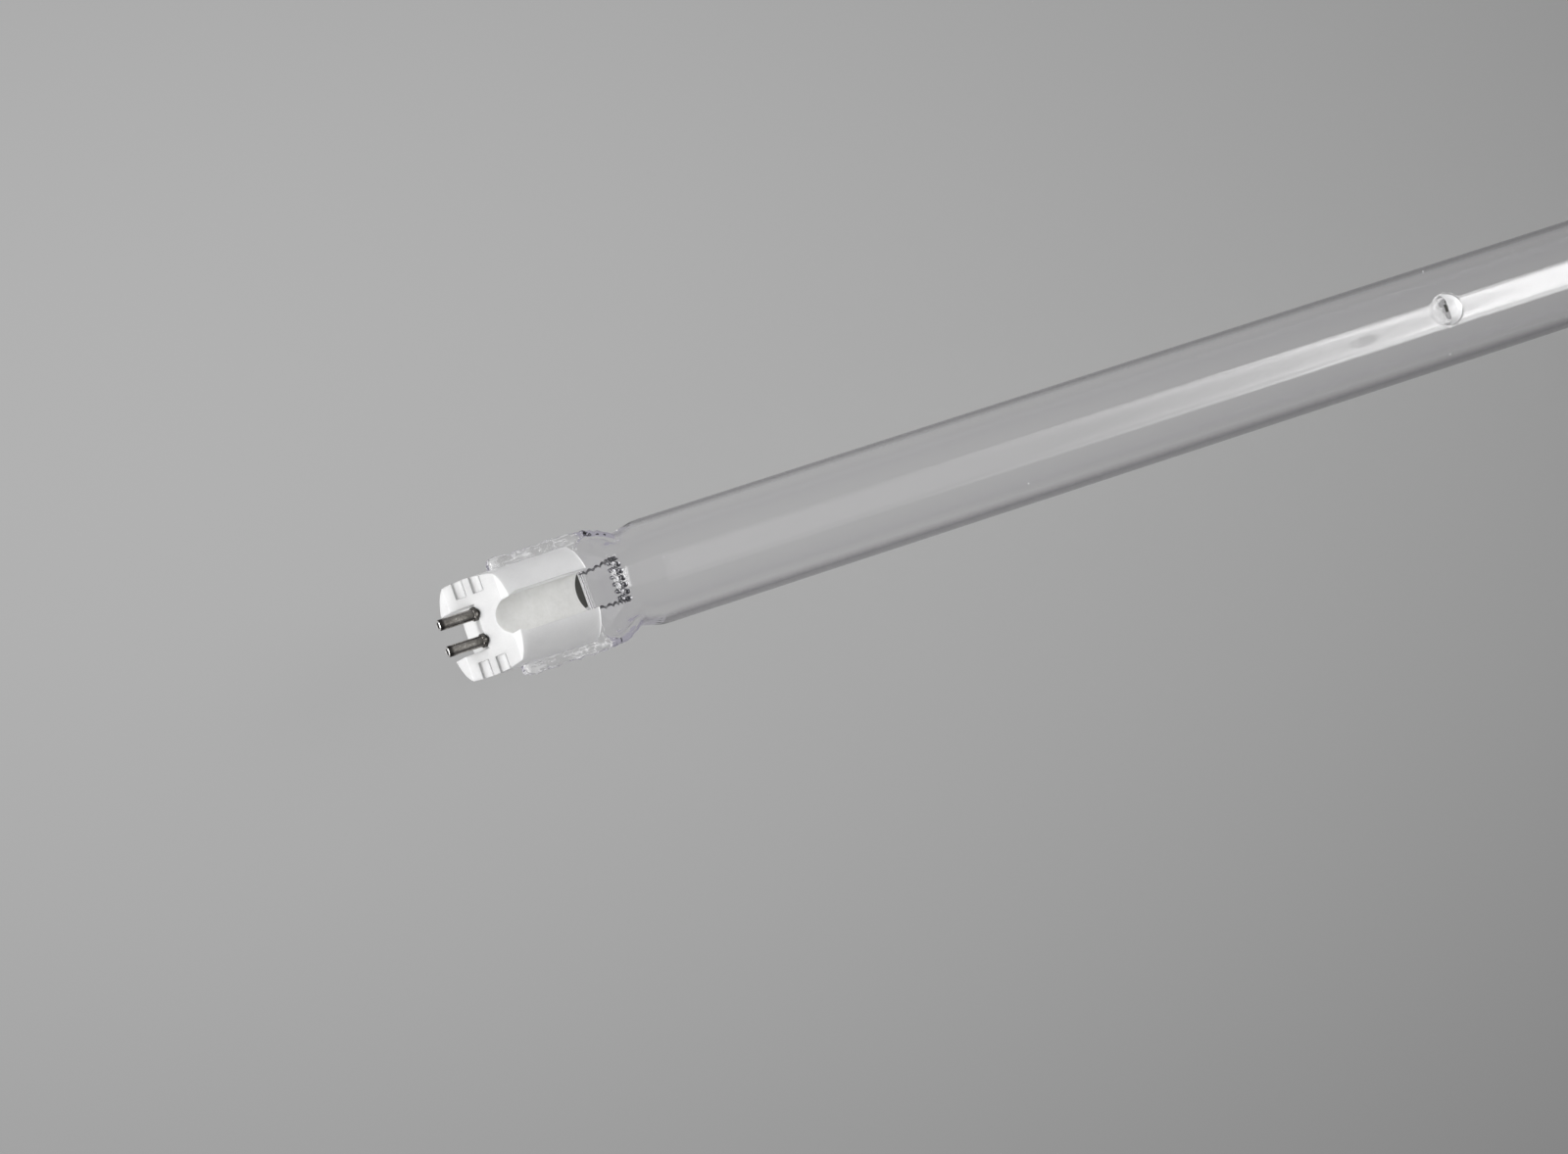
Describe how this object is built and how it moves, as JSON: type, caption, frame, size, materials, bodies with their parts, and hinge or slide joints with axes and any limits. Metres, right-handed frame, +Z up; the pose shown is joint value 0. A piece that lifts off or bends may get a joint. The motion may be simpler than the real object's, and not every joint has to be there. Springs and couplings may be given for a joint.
{
  "type": "uv germicidal lamp",
  "caption": "Clear quartz tube lamp, pinched flat at both ends, with coiled filaments and notched white ceramic caps that carry two contact pins each.",
  "frame": {"origin": "on the tube's axis, midway between the two ceramic caps", "axes": "+X along the lamp from left to right; the pinch blades lie flat in XY; +Z is up, the side that the cap windows and the sealed exhaust tip face when the lamp lies on its tube"},
  "size_m": [0.4432, 0.022, 0.0203],
  "materials": {
    "quartz": "clear fused quartz, drawn and fire polished",
    "ceramic": "fine matt white steatite",
    "cement": "dull pale grey lamp cement, slightly grainy",
    "nickel_plate": "dull nickel plate",
    "tungsten": "dark drawn tungsten wire",
    "molybdenum": "bright grey molybdenum",
    "amalgam": "grey metal bead, half matt"
  },
  "bodies": {
    "root": {"amalgam_pellet": "amalgam", "left_back_contact_pin": "nickel_plate", "left_back_foil": "molybdenum", "left_back_inner_lead": "molybdenum", "left_back_outer_lead": "molybdenum", "left_cap_cement": "cement", "left_ceramic_cap": "ceramic", "left_filament": "tungsten", "left_front_contact_pin": "nickel_plate", "left_front_foil": "molybdenum", "left_front_inner_lead": "molybdenum", "left_front_outer_lead": "molybdenum", "quartz_tube": "quartz", "right_back_contact_pin": "nickel_plate", "right_back_foil": "molybdenum", "right_back_inner_lead": "molybdenum", "right_back_outer_lead": "molybdenum", "right_cap_cement": "cement", "right_ceramic_cap": "ceramic", "right_filament": "tungsten", "right_front_contact_pin": "nickel_plate", "right_front_foil": "molybdenum", "right_front_inner_lead": "molybdenum", "right_front_outer_lead": "molybdenum"}
  },
  "joints": []
}
